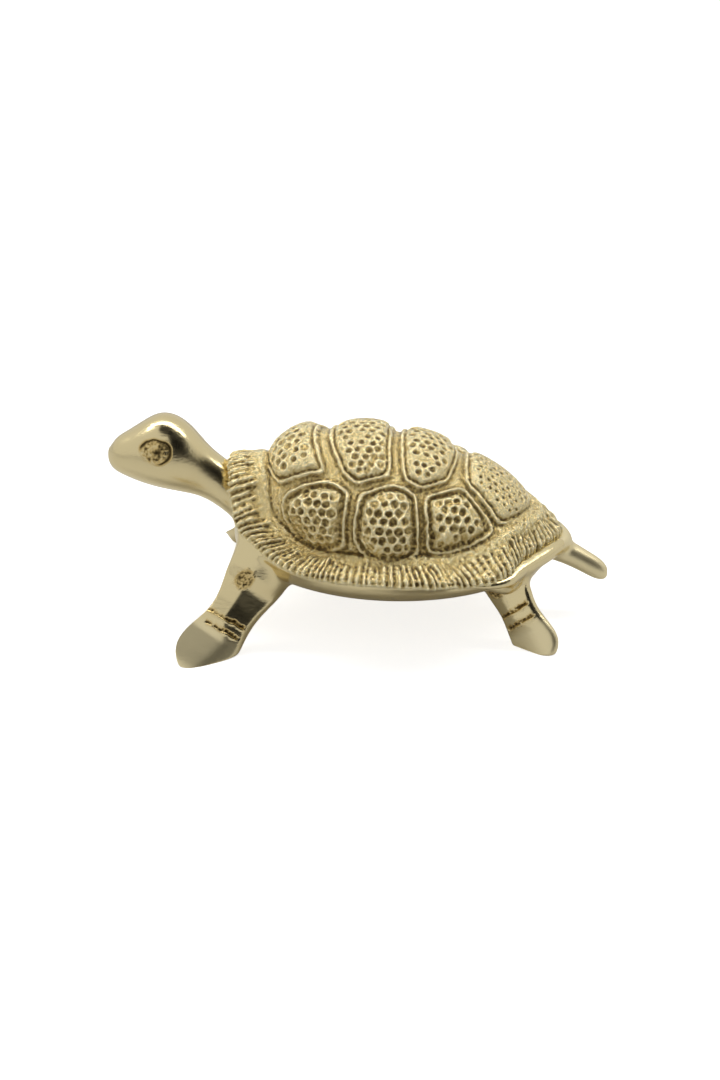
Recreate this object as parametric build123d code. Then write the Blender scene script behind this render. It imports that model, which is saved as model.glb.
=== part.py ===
from build123d import *
from math import cos, radians, sin, sqrt
import os

# A cast brass turtle, walking, with its head raised. Millimetres, +Z up.
# It faces -X, so its left side is -Y. The origin is on the ground, midway along its length.

# Whole figure
figure_length = 150.0
body_centre_x = 11.4

# Ribbed skirt: its rim, and its root where it meets the dome
rim_half_length = 50.0
rim_half_width = 36.0
rim_height = 26.6
collar_rise = 21.6
rim_thickness = 1.6
root_shift = 0.8
root_half_length = 41.0
root_half_width = 27.0
root_height = 29.2
root_collar_rise = 20.0
root_thickness = 3.6
root_bury = 5.0
rib_count = 88
rib_samples = 20
rib_depth = 1.0
rib_overhang = 0.7

# Dome of the shell, an ellipsoid with its nose tilted up
dome_setback = 5.0
dome_height = 22.8
dome_half_length = 47.8
dome_half_width = 27.3
dome_half_height = 29.8
dome_tilt = 26.6
shell_wall = 3.0

# Raised scutes
scute_border_height = 1.4
scute_groove_height = 0.5
scute_pad_height = 2.8
scute_gap = 1.7
scute_border_width = 1.5
scute_groove_width = 0.8
scute_depth = 1.2
scute_reach = 4.0
scute_draft = 0.5

# Belly pan
pan_shift = -0.9
pan_half_length = 48.4
pan_half_width = 34.6
pan_brim_height = 24.6
pan_depth = 13.4
pan_floor_height = 12.6
pan_wall = 3.2
seat_clearance = 0.2
seat_groove_height = 0.9
seat_groove_depth = 1.3

# Head and neck
head_height = 23.0
head_width = 20.0
neck_root_x = 33.5
neck_root_height = 34.1
snout_height = 49.0
eye_ring_radius = 4.5
eye_ring_width = 0.8
eye_ring_depth = 0.5
eye_x = 59.5
eye_height = 54.2

# Legs, given for the left side
front_leg_width = 17.0
front_leg_thickness = 7.0
front_leg_root_x = 26.0
front_leg_root_out = 17.0
front_leg_root_height = 25.0
front_toe_out = 38.0
front_left_toe_x = 46.0
front_right_toe_x = 38.6
rear_leg_width = 13.4
rear_leg_thickness = 6.4
rear_leg_root_x = 41.0
rear_leg_root_out = 14.0
rear_leg_root_height = 24.0
rear_left_toe_x = 55.0
rear_left_toe_out = 26.5
rear_right_toe_x = 44.0
rear_right_toe_out = 29.0

# Tail
tail_root_x = 50.0
tail_root_height = 26.5
tail_width = 14.0
tail_height = 13.2
tail_tip_height = 12.9

# Joints between the pieces
braze_gap = 0.05
spigot_radius = 3.4
spigot_length = 13.0
spigot_clearance = 0.1

# Shell screws, with their pillars in the pan and bosses in the shell
screw_spread_x = 21.0
screw_spread_y = 11.0
screw_radius = 2.0
screw_head_radius = 3.9
screw_head_height = 2.3
screw_length = 16.0
screw_clearance = 0.25
thread_clearance = 0.05
boss_radius = 4.2
boss_joint_height = 24.0
slot_width = 1.0
slot_depth = 1.0

# Trimming to the skirt: how far its ring reaches past the rim for the castings and for the limbs
trim_reach = 14.0
collar_reach = 1.5
trim_inward_share = 0.5
skirt_clearance = 0.4

# Overrun of cutting tools
overrun = 5.0

# Sections of the head and neck: place along the axis, then width, height and lift as shares of the head's
head_section_shares = [
    (0.00, 0.68, 0.74, 0.00),
    (0.13, 0.66, 0.73, 0.09),
    (0.28, 0.66, 0.74, 0.22),
    (0.40, 0.82, 0.90, 0.32),
    (0.52, 0.98, 1.00, 0.345),
    (0.62, 1.00, 0.98, 0.31),
    (0.74, 0.88, 0.82, 0.21),
    (0.86, 0.66, 0.60, 0.10),
    (0.95, 0.42, 0.40, 0.02),
    (1.00, 0.14, 0.14, 0.00),
]

# Sections of a leg: place along it, sag, width and thickness as shares
leg_section_shares = [
    (0.00, 0.00, 1.40, 1.80),
    (0.22, 0.03, 1.05, 1.30),
    (0.46, 0.05, 0.84, 0.98),
    (0.75, 0.04, 0.98, 0.92),
    (0.92, 0.01, 0.98, 0.85),
    (1.05, -0.02, 0.70, 0.70),
    (1.12, -0.03, 0.30, 0.40),
]

# Sections of the tail: place along it, width, height and lift as shares
tail_section_shares = [
    (0.00, 1.00, 1.10, 0.00),
    (0.20, 0.88, 0.98, 0.06),
    (0.40, 0.64, 0.70, 0.03),
    (0.60, 0.50, 0.58, 0.00),
    (0.80, 0.44, 0.54, -0.02),
    (0.92, 0.36, 0.46, -0.02),
    (1.00, 0.16, 0.18, 0.00),
]

# Corners of the scutes: share of the dome's half length from its middle, and roll in degrees
ridge_scute_shares = [
    [(-0.985, 75), (-0.90, 82), (-0.70, 48), (-0.76, 34), (-0.81, 0)],
    [(-0.81, 0), (-0.76, 34), (-0.69, 48), (-0.54, 53), (-0.36, 37), (-0.42, 0)],
    [(-0.42, 0), (-0.36, 37), (-0.19, 41), (0.03, 22), (0.00, 0)],
    [(0.00, 0), (0.03, 22), (0.35, 39), (0.46, 28), (0.57, 0)],
]
flank_scute_shares = [
    [(-0.89, 83), (-0.81, 58), (-0.70, 49), (-0.55, 54),
     (-0.42, 91), (-0.57, 112), (-0.75, 114), (-0.85, 104)],
    [(-0.54, 54), (-0.46, 45), (-0.36, 38), (-0.19, 41),
     (-0.02, 73), (-0.12, 86), (-0.24, 92), (-0.43, 87)],
    [(-0.19, 41), (-0.09, 32), (0.03, 23), (0.35, 40), (0.29, 53), (0.09, 70), (-0.01, 73)],
]

# Stations of the skirt from the front round the left side to the rear: along, out, and rise
rim_station_shares = [
    (-1.000, 0.000, 1.000), (-0.992, 0.222, 0.894), (-0.960, 0.389, 0.532), (-0.920, 0.486, 0.361),
    (-0.830, 0.597, 0.231), (-0.660, 0.764, 0.060), (-0.408, 0.911, 0.000), (-0.068, 0.994, 0.010),
    (0.272, 0.978, -0.010), (0.512, 0.903, -0.020), (0.652, 0.764, -0.020), (0.722, 0.569, 0.030),
    (0.822, 0.389, 0.045), (0.912, 0.222, 0.055), (0.988, 0.000, 0.030),
]
root_station_shares = [
    (-1.000, 0.000, 1.000), (-0.985, 0.185, 0.880), (-0.946, 0.363, 0.590), (-0.888, 0.496, 0.315),
    (-0.778, 0.644, 0.090), (-0.639, 0.763, -0.030), (-0.444, 0.896, -0.020), (-0.102, 0.996, 0.000),
    (0.190, 0.989, 0.020), (0.434, 0.911, 0.050), (0.629, 0.770, 0.130), (0.763, 0.585, 0.210),
    (0.893, 0.352, 0.230), (0.971, 0.167, 0.200), (1.000, 0.000, 0.170),
]


def smooth(station_shares, turn):
    """Smooth curve through mirrored stations: turn 0 is the front, 0.5 the rear and 1 the front again."""
    last = len(station_shares) - 1
    place = (turn % 1) * 2 * last

    def station(index):
        index %= 2 * last
        side = -1 if index <= last else 1
        along, out, rise = station_shares[min(index, 2 * last - index)]
        return Vector(along, side * out, rise)
    start = int(place)
    part_way = place - start
    before, here, after, beyond = [station(start + step) for step in (-1, 0, 1, 2)]
    slope_here, slope_after = (after - before) * 0.5, (beyond - here) * 0.5
    change = after - here
    curve = slope_here * part_way + (change * 3 - slope_here * 2 - slope_after) * part_way ** 2
    return here + curve + (slope_here + slope_after - change * 2) * part_way ** 3


def rim_point(turn, drop=0.0):
    """Point on the skirt's edge, moved down by drop."""
    along, out, rise = smooth(rim_station_shares, turn)
    x = body_centre_x + rim_half_length * along
    return Vector(x, rim_half_width * out, rim_height + collar_rise * rise - drop)


def root_point(turn, drop=0.0):
    """Point where the skirt meets the dome, moved down by drop."""
    along, out, rise = smooth(root_station_shares, turn)
    x = body_centre_x + root_shift + root_half_length * along
    return Vector(x, root_half_width * out, root_height + root_collar_rise * rise - drop)


def even_turns(count):
    """Turns that space count points evenly along the rim."""
    steps = rib_samples * count
    points = [rim_point(step / steps) for step in range(steps + 1)]
    travelled = [0.0]
    for start, end in zip(points, points[1:]):
        travelled.append(travelled[-1] + (end - start).length)
    turns = []
    for step, length in enumerate(travelled):
        if length >= travelled[-1] * len(turns) / count and len(turns) < count:
            turns.append(step / steps)
    return turns


class Stretch:
    """A round form and the stretched one that it becomes: its place, and its factors along X, Y and Z."""

    def __init__(self, place, factors):
        self.place = place
        self.factors = factors

    def apply(self, shape):
        return self.place * scale(shape, by=self.factors)

    def undo(self, point):
        local = (self.place.inverse() * Location(point)).position
        return Vector(*(value / factor for value, factor in zip(local, self.factors)))


# The dome is a ball of its half height, stretched and tilted; the pan a ball of its half width, flattened
dome_stretch = Stretch(
    Pos(body_centre_x + dome_setback, 0, dome_height) * Rot(0, dome_tilt, 0),
    (dome_half_length / dome_half_height, dome_half_width / dome_half_height, 1),
)
pan_stretch = Stretch(
    Pos(body_centre_x + pan_shift, 0, pan_brim_height),
    (pan_half_length / pan_half_width, 1, pan_depth / pan_half_width),
)
unstretched = Stretch(Location(), (1, 1, 1))


def ring_solid(section, count, stretch):
    """Closed ring of triangles through count sections, each a list of points, drawn before the stretch."""
    rings = []
    for index, turn in enumerate(even_turns(count)):
        rings.append([stretch.undo(point) for point in section(turn, index)])
    faces = []
    for index, ring in enumerate(rings):
        following = rings[(index + 1) % count]
        for corner, start in enumerate(ring):
            after = (corner + 1) % len(ring)
            for second, third in ((following[corner], following[after]), (following[after], ring[after])):
                faces.append(Face(Wire.make_polygon((start, second, third), close=True)))
    return Solid(Shell(faces))


def skirt():
    """Flared skirt with a ridge and a groove for every rib."""
    def section(turn, index):
        ridge = index % 2
        root, edge = root_point(turn), rim_point(turn)
        outward = (edge - root).normalized()
        tip = edge + outward * rib_overhang if ridge else rim_point(turn, rib_depth)
        buried = root - outward * root_bury
        return [buried, root, tip, rim_point(turn, rim_thickness), buried - Vector(0, 0, root_thickness)]
    return ring_solid(section, 2 * rib_count, dome_stretch)


def beyond_underside(count, shift, side, stretch, reach=trim_reach):
    """Ring of space above (side 1) or below (side -1) the skirt's underside, which is moved up by shift."""
    def section(turn, index):
        root, rim = root_point(turn), rim_point(turn)
        buried = root - (rim - root).normalized() * root_bury
        inner = buried - Vector(0, 0, root_thickness - shift)
        edge = rim_point(turn, rim_thickness - shift)
        middle = Vector(body_centre_x, 0, 0)
        inside = inner + (Vector(middle.X, middle.Y, inner.Z) - inner) * trim_inward_share
        outside = edge + (edge - Vector(middle.X, middle.Y, edge.Z)).normalized() * reach
        away = Vector(0, 0, side * 2 * dome_half_length)
        return [inside, inner, edge, outside, outside + away, inside + away]
    return ring_solid(section, count, stretch)


def ball_point(along_share, roll):
    """Point on the dome's ball: a share of its radius along X, rolled to the left side in degrees."""
    round_share = sqrt(1 - along_share ** 2)
    across, up = -sin(radians(roll)) * round_share, cos(radians(roll)) * round_share
    return Vector(along_share, across, up) * dome_half_height


def scute_block(corners, inset, grow):
    """A scute's outline as a block on the dome's ball, narrowed by inset, with walls that lean in."""
    middle = sum(corners, Vector()).normalized()
    layers = []
    for rise in (-scute_depth, scute_reach):
        radius = dome_half_height + rise
        walls = []
        for start, end in zip(corners, corners[1:] + corners[:1]):
            normal = start.cross(end).normalized()
            normal *= 1 if normal.dot(middle) > 0 else -1
            real_inset = inset + scute_draft * rise
            shrink = Vector(*(value / factor for value, factor in zip(normal, dome_stretch.factors))).length
            walls.append((normal, real_inset * shrink))
        ring = []
        for (first, first_inset), (second, second_inset) in zip(walls[-1:] + walls[:-1], walls):
            slant = first.dot(second)
            foot = first * ((first_inset - slant * second_inset) / (1 - slant ** 2))
            foot += second * ((second_inset - slant * first_inset) / (1 - slant ** 2))
            edge = first.cross(second).normalized()
            edge *= 1 if edge.dot(middle) > 0 else -1
            ring.append(foot + edge * sqrt(radius ** 2 - foot.length ** 2))
        layers.append((ring, middle * radius))
    (lower, lower_middle), (upper, upper_middle) = layers
    triangles = []
    for index, start in enumerate(lower):
        after = (index + 1) % len(lower)
        triangles.append((lower_middle, start, lower[after]))
        triangles.append((upper_middle, upper[index], upper[after]))
        triangles.append((start, lower[after], upper[after]))
        triangles.append((start, upper[after], upper[index]))
    block = Solid(Shell([Face(Wire.make_polygon(triangle, close=True)) for triangle in triangles]))
    return block & Sphere(dome_half_height + grow)


def scute(corner_shares):
    """One raised scute on the dome's ball: a border ridge, a groove inside it and a domed pad."""
    corners = [ball_point(*shares) for shares in corner_shares]
    border = scute_gap / 2
    groove = border + scute_border_width
    pad = groove + scute_groove_width
    tile = scute_block(corners, border, scute_border_height)
    tile -= scute_block(corners, groove, scute_border_height + scute_groove_height) - Sphere(
        dome_half_height + scute_groove_height)
    return tile + scute_block(corners, pad, scute_pad_height)


def boss_places():
    """The four places of the shell screws."""
    return [
        Pos(body_centre_x + x, y, 0)
        for x in (-screw_spread_x, screw_spread_x)
        for y in (-screw_spread_y, screw_spread_y)
    ]


def upright(radius, bottom, top):
    """A cylinder between two heights."""
    return Pos(0, 0, (bottom + top) / 2) * Cylinder(radius, top - bottom)


def carapace():
    """Cast shell: dome with ten scutes and a ribbed skirt, hollow inside, with four screw bosses."""
    flank = [scute(shares) for shares in flank_scute_shares]
    ridge = []
    for half in ridge_scute_shares:
        other_half = [(along, -roll) for along, roll in reversed(half) if roll]
        ridge.append(scute(half + other_half))
    shell = Sphere(dome_half_height) + flank + [mirror(each, about=Plane.XZ) for each in flank] + ridge
    below = beyond_underside(rib_count // 2, rim_thickness / 2, -1, dome_stretch)
    shell = shell - below + skirt() - Sphere(dome_half_height - shell_wall)
    shell = dome_stretch.apply(max(shell.solids(), key=lambda solid: solid.volume))
    thread_end = pan_floor_height + screw_length + screw_clearance
    for place in boss_places():
        boss = upright(boss_radius, boss_joint_height, dome_height + dome_half_length)
        inside = dome_stretch.apply(Sphere(dome_half_height - shell_wall / 2))
        shell += (place * boss) & inside
        shell -= place * upright(screw_radius + thread_clearance, boss_joint_height, thread_end)
    return shell


def pan_ball(grow):
    """The pan's outer form before its stretch: half a ball below the brim, and a tube above it."""
    radius = pan_half_width + grow
    tall = dome_half_length * pan_half_width / pan_depth
    return Sphere(radius) + Pos(0, 0, tall / 2) * Cylinder(radius, tall)


def pan_form(grow):
    """The pan's outer form, from the flat belly up to past the collar."""
    belly = Pos(0, 0, pan_floor_height - grow) * Box(
        2 * figure_length, figure_length, 2 * figure_length, align=(Align.CENTER, Align.CENTER, Align.MIN))
    return pan_stretch.apply(pan_ball(grow)) & belly


def belly_pan(limb_holes):
    """Cast body and belly: an oval bowl that carries the shell, open above, with four screw pillars."""
    seat = beyond_underside(rib_count, -seat_clearance, 1, pan_stretch)
    groove = beyond_underside(rib_count // 2, -seat_groove_height, 1, pan_stretch)
    groove -= pan_ball(-seat_groove_depth)
    pan = pan_stretch.apply(pan_ball(0.0) - pan_ball(-pan_wall) - seat - groove)
    floor = upright(2 * pan_half_length, pan_floor_height, pan_floor_height + pan_wall)
    floor = Pos(body_centre_x + pan_shift, 0, 0) * floor
    pan += floor & pan_stretch.apply(pan_ball(-pan_wall / 2))
    pan -= upright(figure_length, -pan_floor_height, pan_floor_height)
    for place in boss_places():
        pan += place * upright(boss_radius, pan_floor_height, boss_joint_height)
        pan -= place * upright(
            screw_radius + screw_clearance, pan_floor_height - overrun, boss_joint_height + overrun)
        pan -= place * screw_head(screw_clearance)
    for hole in limb_holes:
        pan -= hole
    return pan


def screw_head(grow):
    """Countersunk head, its flat face in the belly's underside."""
    cone = Cone(screw_head_radius + grow, screw_radius + grow, screw_head_height)
    return Pos(0, 0, pan_floor_height + screw_head_height / 2) * cone


def shell_screws():
    """Four countersunk screws with a driver slot."""
    screw = screw_head(0.0) + upright(screw_radius, pan_floor_height, pan_floor_height + screw_length)
    slot = Pos(0, 0, pan_floor_height) * Box(2 * screw_head_radius + overrun, slot_width, 2 * slot_depth)
    return Compound(children=[place * (screw - slot) for place in boss_places()])


def spigot(root, far, grow):
    """A round pin that starts at a limb's root inside the pan and points along the limb."""
    pin = Cylinder(spigot_radius + grow, spigot_length, align=(Align.CENTER, Align.CENTER, Align.MIN))
    return Plane(origin=root, z_dir=far - root) * pin


def seated(limb, root, far):
    """A limb cut to the pan's form and clear of the skirt, with a spigot through the pan's wall."""
    limb -= pan_form(braze_gap)
    limb -= beyond_underside(rib_count, -skirt_clearance, 1, unstretched, collar_reach)
    limb = max(limb.solids(), key=lambda solid: solid.volume)
    return limb + spigot(root, far, 0.0)


def leg(root, toe, width, thickness):
    """A flat leg with its broad side outwards, from inside the pan to its sole on the ground."""
    reach = toe - root
    axis = reach.normalized()
    side = 1 if toe.Y > 0 else -1
    broad = axis.cross(Vector(0, side, 0)).normalized()
    sections = []
    for along_share, bow_share, width_share, thickness_share in leg_section_shares:
        bow = Vector(0, 0, -reach.length * bow_share)
        plane = Plane(origin=root + reach * along_share + bow, x_dir=broad, z_dir=axis)
        sections.append(plane * Ellipse(width * width_share / 2, thickness * thickness_share / 2))
    return seated(loft(sections) - upright(figure_length, -figure_length, 0), root, toe)


def upright_loft(section_shares, start, end, width, height):
    """A loft through upright ellipses between two points; each has its place, sizes and lift as shares."""
    sections = []
    for along_share, width_share, height_share, lift_share in section_shares:
        middle = start + (end - start) * along_share + Vector(0, 0, height * lift_share)
        plane = Plane(origin=middle, x_dir=(0, 1, 0), z_dir=(-1, 0, 0))
        sections.append(plane * Ellipse(width * width_share / 2, height * height_share / 2))
    return loft(sections)


def head_and_neck():
    """Egg-shaped head on a neck that leaves the chest under the collar, with a ring cut round each eye."""
    head = upright_loft(head_section_shares, neck_root, snout, head_width, head_height)
    inner_width = head_width - 2 * eye_ring_depth
    below_ring = upright_loft(head_section_shares, neck_root, snout, inner_width, head_height)
    ring = Cylinder(eye_ring_radius, head_width) - Cylinder(eye_ring_radius - eye_ring_width, head_width)
    for side in (-1, 1):
        head -= (Pos(-eye_x, side * head_width / 2, eye_height) * Rot(90, 0, 0) * ring) - below_ring
    return seated(head, neck_root, snout)


def tail():
    """Tapered tail that slopes down from the rump."""
    cone = upright_loft(tail_section_shares, tail_root, tail_tip, tail_width, tail_height)
    return seated(cone, tail_root, tail_tip)


neck_root = Vector(-neck_root_x, 0, neck_root_height)
snout = Vector(-figure_length / 2, 0, snout_height)
tail_root = Vector(tail_root_x, 0, tail_root_height)
tail_tip = Vector(figure_length / 2, 0, tail_tip_height)
front_root = Vector(-front_leg_root_x, front_leg_root_out, front_leg_root_height)
rear_root = Vector(rear_leg_root_x, rear_leg_root_out, rear_leg_root_height)
legs = {
    "front_left_leg": (
        Vector(front_root.X, -front_root.Y, front_root.Z), Vector(-front_left_toe_x, -front_toe_out, 0)),
    "front_right_leg": (front_root, Vector(-front_right_toe_x, front_toe_out, 0)),
    "rear_left_leg": (
        Vector(rear_root.X, -rear_root.Y, rear_root.Z), Vector(rear_left_toe_x, -rear_left_toe_out, 0)),
    "rear_right_leg": (rear_root, Vector(rear_right_toe_x, rear_right_toe_out, 0)),
}
limb_axes = [(neck_root, snout), (tail_root, tail_tip)] + list(legs.values())

pieces = {
    "carapace": carapace(),
    "belly_pan": belly_pan([spigot(root, far, spigot_clearance) for root, far in limb_axes]),
    "head_and_neck": head_and_neck(),
    "tail": tail(),
    "shell_screws": shell_screws(),
}
for name, (root, toe) in legs.items():
    if name.startswith("front"):
        pieces[name] = leg(root, toe, front_leg_width, front_leg_thickness)
    else:
        pieces[name] = leg(root, toe, rear_leg_width, rear_leg_thickness)

os.makedirs("parts", exist_ok=True)
for name, piece in pieces.items():
    export_step(piece, f"parts/{name}.step")
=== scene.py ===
from math import cos, pi, radians, sin

import bmesh
import bpy
import numpy as np
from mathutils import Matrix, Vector, noise
from mathutils.bvhtree import BVHTree


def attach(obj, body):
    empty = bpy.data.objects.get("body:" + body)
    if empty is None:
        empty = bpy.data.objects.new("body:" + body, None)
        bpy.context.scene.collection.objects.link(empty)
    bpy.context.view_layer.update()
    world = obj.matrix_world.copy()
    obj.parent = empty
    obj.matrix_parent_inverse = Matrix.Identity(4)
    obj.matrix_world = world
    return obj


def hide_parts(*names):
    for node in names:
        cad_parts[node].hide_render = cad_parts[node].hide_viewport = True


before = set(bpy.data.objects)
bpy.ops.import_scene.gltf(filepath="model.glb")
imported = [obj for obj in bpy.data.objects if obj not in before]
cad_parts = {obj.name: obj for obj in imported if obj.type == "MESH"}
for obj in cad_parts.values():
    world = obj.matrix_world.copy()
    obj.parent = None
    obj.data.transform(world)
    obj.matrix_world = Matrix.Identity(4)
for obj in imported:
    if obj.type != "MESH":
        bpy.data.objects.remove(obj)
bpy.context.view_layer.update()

# A cast brass turtle, walking, with its head raised. Lengths here are millimetres, as in the CAD source;
# every mesh is turned into metres when it is made. The turtle faces -X, so its left side is -Y.
METRES = 0.001

# Skirt of the shell, as in the CAD source
BODY_CENTRE_X = 11.4
RIM_HALF_LENGTH = 50.0
RIM_HALF_WIDTH = 36.0
RIM_HEIGHT = 26.6
COLLAR_RISE = 21.6
RIM_THICKNESS = 1.6
ROOT_SHIFT = 0.8
ROOT_HALF_LENGTH = 41.0
ROOT_HALF_WIDTH = 27.0
ROOT_HEIGHT = 29.2
ROOT_COLLAR_RISE = 20.0
ROOT_BURY = 5.0
ROOT_THICKNESS = 3.6

# Section of the skirt: its steps from root to edge, its crown, its underside, and the cove beside the dome
SKIRT_STEPS = 30
SKIRT_CROWN = 0.7
UNDERCUT = 0.7
RIM_UNDER_SHARE = 0.75
COVE_RISE = 1.7
COVE_SHARE = 0.5

# Ribs of the skirt, nearly twice as many as in the CAD source. Their widths, heights, starts and leans are
# drawn at random between the limits given here.
RIB_COUNT = 156
RIB_STEPS = 8
RIB_RELIEF = 0.95
RIB_WIDTH_SHARES = (0.65, 1.4)
RIB_HEIGHT_SHARES = (0.55, 1.25)
RIB_START_SHARES = (0.12, 0.42)
RIB_RISE_SHARE = 0.2
RIB_LEAN_SHARE = 0.16
RIB_SHARPNESS = 1.3
RIB_OVERHANG = 0.9
RIB_OVERHANG_JITTER = 0.42
RIB_EDGE_SHARE = 0.86
RIB_EDGE_DROP = 1.045
RIB_TEAR = 0.55
RIB_TEAR_SIZE = 1.5
RIB_WEAR = 0.35
RIB_WEAR_SIZE = 6.0
RIB_WEAR_LIMITS = (0.1, 0.5)
RIM_SAMPLES = 20

# Dome of the shell, as in the CAD source
DOME_SETBACK = 5.0
DOME_HEIGHT = 22.8
DOME_HALF_SIZES = (47.8, 27.3, 29.8)
DOME_TILT = 26.6

# Mesh of the dome: where it is cut off, its step, its rows as a share of full ones, and its ends' angle
DOME_CUT_HEIGHT = 25.0
DOME_STEP = 0.24
DOME_ROW_SHARE = 0.8
DOME_POLE_ANGLE = 0.02

# Scutes: heights above the valleys between them, at distances in from the middle of the valley
RIDGE_PROFILE = [
    (0.0, 0.0), (0.55, 0.05), (0.75, 0.9), (1.0, 1.25), (1.45, 1.3), (1.75, 0.75), (2.0, 0.7),
    (2.3, 1.5), (2.8, 2.1), (3.6, 2.5), (5.0, 2.75), (8.0, 2.95), (14.0, 3.1),
]
FLANK_PROFILE = [
    (0.0, 0.0), (0.55, 0.05), (0.8, 0.9), (1.05, 1.35), (1.5, 1.4), (1.8, 0.7), (2.4, 0.5),
    (2.8, 0.9), (3.3, 1.9), (4.1, 2.6), (5.6, 3.1), (8.0, 3.35), (14.0, 3.45),
]
CORNER_ROUNDING = 0.7
EDGE_DISTANCE_LIMITS = (-20, 40)

# Punch marks: spacing, radius and depth for the back, for its rear scute and for the flanks. Each mark has a
# low rim, and PUNCH_ROWS rows lie on each side of a scute's middle.
RIDGE_PUNCH = (2.9, 1.08, 0.55)
REAR_PUNCH = (2.7, 0.7, 0.32)
FLANK_PUNCH = (2.75, 1.24, 0.7)
PUNCH_RIM = 0.16
PUNCH_RIM_WIDTH = 0.2
PUNCH_INSET = 3.3
PUNCH_JITTER = 0.4
PUNCH_SIZE_SHARES = (0.8, 1.12)
PUNCH_ROW_SHARE = 0.87
PUNCH_ROWS = 8
PUNCHES_LEFT_OUT_SHARE = 0.04

# Low on the flanks the scutes fade out, between these rolls in degrees
LOW_FADE_ROLLS = (84, 108)
LOW_FADE_JITTER = 9
LOW_FADE_SIZE = 3.0
LOW_FADE = 0.7

# The shell swells a little towards its front, between these shares of its half length
FRONT_SWELL = 2.2
FRONT_SWELL_SHARES = (0.70, 0.90)

# Roughness that the hand and the mould leave: each is a list of grain sizes with their heights
SCUTE_EDGE_GRAINS = [(2.6, 0.3), (1.0, 0.18)]
CAST_GRAINS = [(0.65, 0.104), (1.3, 0.117), (2.8, 0.065)]
CUT_GRAINS = [(0.6, 1.0), (1.5, 0.5)]
EYE_GRAINS = [(0.7, 1.0), (1.6, 0.6)]

# The casting is coarser low down: two heights, and the share of its grain at each
LOW_GRAIN_HEIGHTS = (30, 44)
LOW_GRAIN_SHARES = (1.6, 0.8)

# How far a point stands out, which sets the shell's patina, wear, painted shade and painted highlight:
# rounds of averaging that reach round a point, and the height from full groove to full edge
EXPOSURE_ROUNDS = 12
EXPOSURE_HEIGHT = 0.5
SEED = 7

# Remeshing and rounding. Points nearer than SAME_POINT are joined.
SHELL_VOXEL = 0.26
BODY_VOXEL = 0.32
SAME_POINT = 0.001
LIMB_SWELL = 0.14
FILLET_REACH = 4.5
FILLET_FULL_SHARE = 0.3
BEAD_SEAM_WEIGHT = 1.5
FILLET_ROUNDS = 60
POLISH_ROUNDS = 8

# Filler under the skirt's rim, where the limbs and the body are brazed to the shell. A station has its turn,
# and the filler's radius, overhang and drop below the rim.
BEAD_STATIONS = [
    (0.0, 0.8, -1.6, 1.3), (0.06, 0.8, -1.6, 1.3), (0.10, 1.5, -0.9, 2.0), (0.15, 1.6, -1.1, 2.1),
    (0.21, 1.0, -1.4, 1.5), (0.31, 1.0, -1.4, 1.5), (0.36, 2.0, -0.2, 2.5), (0.40, 2.8, 0.5, 3.3),
    (0.5, 2.8, 0.6, 3.3),
]
BEAD_POINTS = 400

# Filler under the rump, between the rear legs and the tail, with stations of the same kind
HIP_STATIONS = [
    (0.345, 1.6, -5.5, 5.0), (0.37, 3.8, -2.8, 5.8), (0.40, 4.4, -2.0, 6.4), (0.44, 3.6, -2.8, 5.8),
    (0.47, 3.2, -3.2, 5.4), (0.52, 3.0, -3.4, 5.2),
]
HIP_POINTS = 90
TUBE_SIDES = 10

# Rough metal where the neck runs in under the collar
COLLAR_REACHES = (2.6, 0.4)
COLLAR_WANDER = 0.8
COLLAR_WANDER_SIZE = 2.5
COLLAR_BEHIND = -32
COLLAR_ABOVE = 38
COLLAR_LUMPS = (0.2, 0, 0.3)

# How strong a mark is where the grain is 0, how much the grain changes it, and its limits
CUT_PATCHES = (0.75, 0.9, 0.1, 1.5)
CUT_DARKENING_PATCHES = (0.9, 1.2, 0, 1)
ROOT_PATCHES = (0.55, -1.3, 0.25, 1)
COLLAR_PATCHES = (0.4, -0.5, 0.15, 0.8)
EYE_RING_PATCHES = (0.85, 0.8, 0.1, 1.5)
EYE_DARKENING_PATCHES = (0.4, 0.9, 0.1, 1)
SATIN_SHARE = 0.8

LIMBS = ["head_and_neck", "front_left_leg", "front_right_leg", "rear_left_leg", "rear_right_leg", "tail"]

# Legs as in the CAD source: root, toe, width, thickness, and the places of the two cuts along the leg
LEGS = {
    "front_left_leg": ((-26.0, -17.0, 25.0), (-46.0, -38.0, 0.0), 17.0, 7.0, (0.59, 0.68)),
    "front_right_leg": ((-26.0, 17.0, 25.0), (-38.6, 38.0, 0.0), 17.0, 7.0, (0.59, 0.68)),
    "rear_left_leg": ((41.0, -14.0, 24.0), (55.0, -26.5, 0.0), 13.4, 6.4, (0.52, 0.65)),
    "rear_right_leg": ((41.0, 14.0, 24.0), (44.0, 29.0, 0.0), 13.4, 6.4, (0.52, 0.65)),
}
LEG_BOW_SHARES = [(0.0, 0.0), (0.22, 0.03), (0.46, 0.05), (0.75, 0.04), (0.92, 0.01), (1.05, -0.02)]
LEG_RIDGE_SHARES = [(0.30, 0.14), (0.60, 0.14), (0.76, -0.12), (1.0, -0.05)]
LEG_SPAN_SHARES = (0.1, 1.1)
FOOT_SHARES = (0.66, 0.76)

# Filed facets of a leg, which meet in a ridge; lists give a share along the leg and the value there
FILED_SHARES = (0.20, 0.34)
FILED_FACE_SHARE = 0.40
SMOOTHED_SHARE = 0.3
LEG_RIDGE_ROUNDINGS = [(0.60, 0.6), (0.76, 2.2)]
LEG_FRONT_SLOPES = [(0.60, 0.55), (0.76, 0.44)]
LEG_REAR_SLOPES = [(0.60, 0.05), (0.76, 0.14)]
LEG_ROUNDS = 16

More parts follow.
